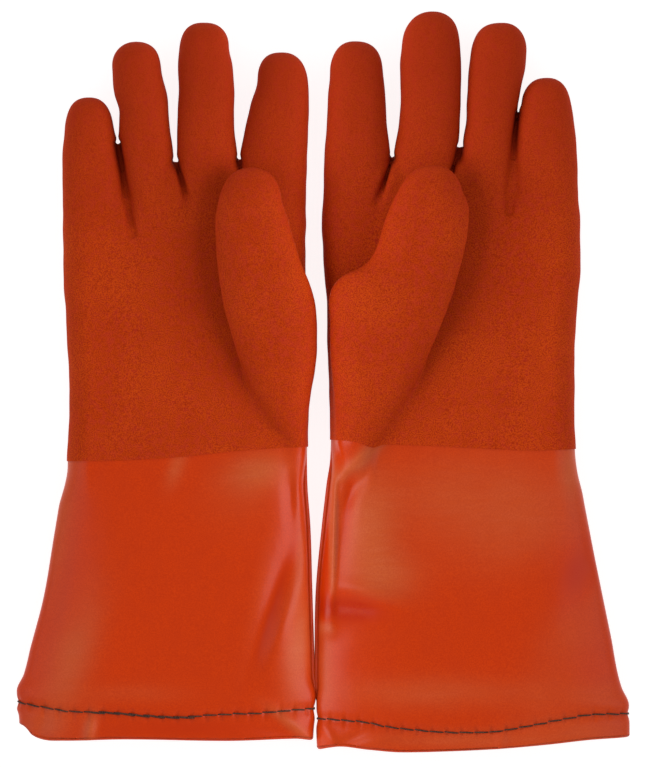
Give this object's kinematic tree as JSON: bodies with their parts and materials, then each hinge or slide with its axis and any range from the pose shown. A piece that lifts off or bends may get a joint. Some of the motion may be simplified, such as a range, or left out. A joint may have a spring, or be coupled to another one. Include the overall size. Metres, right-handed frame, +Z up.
{
  "type": "cryogenic gloves",
  "caption": "Pair of insulated coated gauntlet gloves lying palm up, with matt hands, smooth flared cuffs, turned stitched hems and a soft lining inside.",
  "frame": {"origin": "on the surface the gloves lie on, below the middle of the pair", "axes": "+X across the pair from the right-hand glove to the left-hand glove, +Y towards the fingertips, +Z up, out of the palms"},
  "size_m": [0.3142, 0.3804, 0.0496],
  "materials": {
    "coat": "matt sandy orange-red PVC coating",
    "sheet": "smooth glossy orange PVC sheet",
    "pile": "off-white acrylic pile",
    "thread": "near-black sewing thread"
  },
  "bodies": {
    "right_gauntlet": {"right_gauntlet_sleeve": "sheet", "right_gauntlet_liner": "pile", "right_hem_fold": "sheet", "right_hem_thread": "thread", "right_side_seam": "sheet"},
    "right_hand": {"right_hand_shell": "coat", "right_hand_liner": "pile"},
    "right_thumb": {"right_thumb_shell": "coat", "right_thumb_liner": "pile"},
    "right_index_lower": {"right_index_lower_shell": "coat", "right_index_lower_liner": "pile"},
    "right_index_tip": {"right_index_tip_shell": "coat", "right_index_tip_liner": "pile"},
    "right_middle_lower": {"right_middle_lower_shell": "coat", "right_middle_lower_liner": "pile"},
    "right_middle_tip": {"right_middle_tip_shell": "coat", "right_middle_tip_liner": "pile"},
    "right_ring_lower": {"right_ring_lower_shell": "coat", "right_ring_lower_liner": "pile"},
    "right_ring_tip": {"right_ring_tip_shell": "coat", "right_ring_tip_liner": "pile"},
    "right_little_lower": {"right_little_lower_shell": "coat", "right_little_lower_liner": "pile"},
    "right_little_tip": {"right_little_tip_shell": "coat", "right_little_tip_liner": "pile"},
    "left_gauntlet": {"left_gauntlet_sleeve": "sheet", "left_gauntlet_liner": "pile", "left_hem_fold": "sheet", "left_hem_thread": "thread", "left_side_seam": "sheet"},
    "left_hand": {"left_hand_shell": "coat", "left_hand_liner": "pile"},
    "left_thumb": {"left_thumb_shell": "coat", "left_thumb_liner": "pile"},
    "left_index_lower": {"left_index_lower_shell": "coat", "left_index_lower_liner": "pile"},
    "left_index_tip": {"left_index_tip_shell": "coat", "left_index_tip_liner": "pile"},
    "left_middle_lower": {"left_middle_lower_shell": "coat", "left_middle_lower_liner": "pile"},
    "left_middle_tip": {"left_middle_tip_shell": "coat", "left_middle_tip_liner": "pile"},
    "left_ring_lower": {"left_ring_lower_shell": "coat", "left_ring_lower_liner": "pile"},
    "left_ring_tip": {"left_ring_tip_shell": "coat", "left_ring_tip_liner": "pile"},
    "left_little_lower": {"left_little_lower_shell": "coat", "left_little_lower_liner": "pile"},
    "left_little_tip": {"left_little_tip_shell": "coat", "left_little_tip_liner": "pile"}
  },
  "joints": [
    {"name": "right_wrist", "type": "hinge", "parent": "right_gauntlet", "child": "right_hand", "pos_m": [-0.0708, -0.0367, 0.0259], "axis": [0.9983, 0.0582, 0], "range_deg": [0, 40]},
    {"name": "right_thumb_lift", "type": "hinge", "parent": "right_hand", "child": "right_thumb", "pos_m": [-0.02945, 0.04385, 0.0499], "axis": [-0.7265, -0.6871, 0], "range_deg": [-45, 0]},
    {"name": "right_index_knuckle", "type": "hinge", "parent": "right_hand", "child": "right_index_lower", "pos_m": [-0.0255, 0.112, 0.0253], "axis": [0.9991, -0.0417, 0], "range_deg": [0, 60]},
    {"name": "right_index_middle", "type": "hinge", "parent": "right_index_lower", "child": "right_index_tip", "pos_m": [-0.02433, 0.13998, 0.02346], "axis": [0.9991, -0.0417, 0], "range_deg": [0, 75]},
    {"name": "right_middle_knuckle", "type": "hinge", "parent": "right_hand", "child": "right_middle_lower", "pos_m": [-0.06, 0.112, 0.0253], "axis": [0.9995, 0.0315, 0], "range_deg": [0, 60]},
    {"name": "right_middle_middle", "type": "hinge", "parent": "right_middle_lower", "child": "right_middle_tip", "pos_m": [-0.0611, 0.14698, 0.02363], "axis": [0.9995, 0.0315, 0], "range_deg": [0, 75]},
    {"name": "right_ring_knuckle", "type": "hinge", "parent": "right_hand", "child": "right_ring_lower", "pos_m": [-0.0902, 0.112, 0.0253], "axis": [0.9951, 0.0986, 0], "range_deg": [0, 60]},
    {"name": "right_ring_middle", "type": "hinge", "parent": "right_ring_lower", "child": "right_ring_tip", "pos_m": [-0.09316, 0.14185, 0.02362], "axis": [0.9951, 0.0986, 0], "range_deg": [0, 75]},
    {"name": "right_little_knuckle", "type": "hinge", "parent": "right_hand", "child": "right_little_lower", "pos_m": [-0.1173, 0.0833, 0.0253], "axis": [0.9989, 0.0479, 0], "range_deg": [0, 60]},
    {"name": "right_little_middle", "type": "hinge", "parent": "right_little_lower", "child": "right_little_tip", "pos_m": [-0.11874, 0.11327, 0.02342], "axis": [0.9989, 0.0479, 0], "range_deg": [0, 75]},
    {"name": "left_glove_apart", "type": "slide", "parent": "right_gauntlet", "child": "left_gauntlet", "axis": [1, 0, 0], "range_m": [0, 0.08]},
    {"name": "left_wrist", "type": "hinge", "parent": "left_gauntlet", "child": "left_hand", "pos_m": [0.0672, -0.03255, 0.0259], "axis": [0.9995, -0.0329, 0], "range_deg": [0, 40]},
    {"name": "left_thumb_lift", "type": "hinge", "parent": "left_hand", "child": "left_thumb", "pos_m": [0.03485, 0.04, 0.0499], "axis": [-0.8731, 0.4876, 0], "range_deg": [-45, 0]},
    {"name": "left_index_knuckle", "type": "hinge", "parent": "left_hand", "child": "left_index_lower", "pos_m": [0.017, 0.112, 0.0253], "axis": [1, 0.0096, 0], "range_deg": [0, 60]},
    {"name": "left_index_middle", "type": "hinge", "parent": "left_index_lower", "child": "left_index_tip", "pos_m": [0.01671, 0.142, 0.02342], "axis": [1, 0.0096, 0], "range_deg": [0, 75]},
    {"name": "left_middle_knuckle", "type": "hinge", "parent": "left_hand", "child": "left_middle_lower", "pos_m": [0.0519, 0.1136, 0.0253], "axis": [0.9986, -0.0521, 0], "range_deg": [0, 60]},
    {"name": "left_middle_middle", "type": "hinge", "parent": "left_middle_lower", "child": "left_middle_tip", "pos_m": [0.0538, 0.15005, 0.02346], "axis": [0.9986, -0.0521, 0], "range_deg": [0, 75]},
    {"name": "left_ring_knuckle", "type": "hinge", "parent": "left_hand", "child": "left_ring_lower", "pos_m": [0.0822, 0.1136, 0.0253], "axis": [0.9918, -0.1275, 0], "range_deg": [0, 60]},
    {"name": "left_ring_middle", "type": "hinge", "parent": "left_ring_lower", "child": "left_ring_tip", "pos_m": [0.08653, 0.14732, 0.02367], "axis": [0.9918, -0.1275, 0], "range_deg": [0, 75]},
    {"name": "left_little_knuckle", "type": "hinge", "parent": "left_hand", "child": "left_little_lower", "pos_m": [0.1132, 0.0936, 0.0253], "axis": [0.9999, -0.0145, 0], "range_deg": [0, 60]},
    {"name": "left_little_middle", "type": "hinge", "parent": "left_little_lower", "child": "left_little_tip", "pos_m": [0.11363, 0.1231, 0.02333], "axis": [0.9999, -0.0145, 0], "range_deg": [0, 75]}
  ]
}
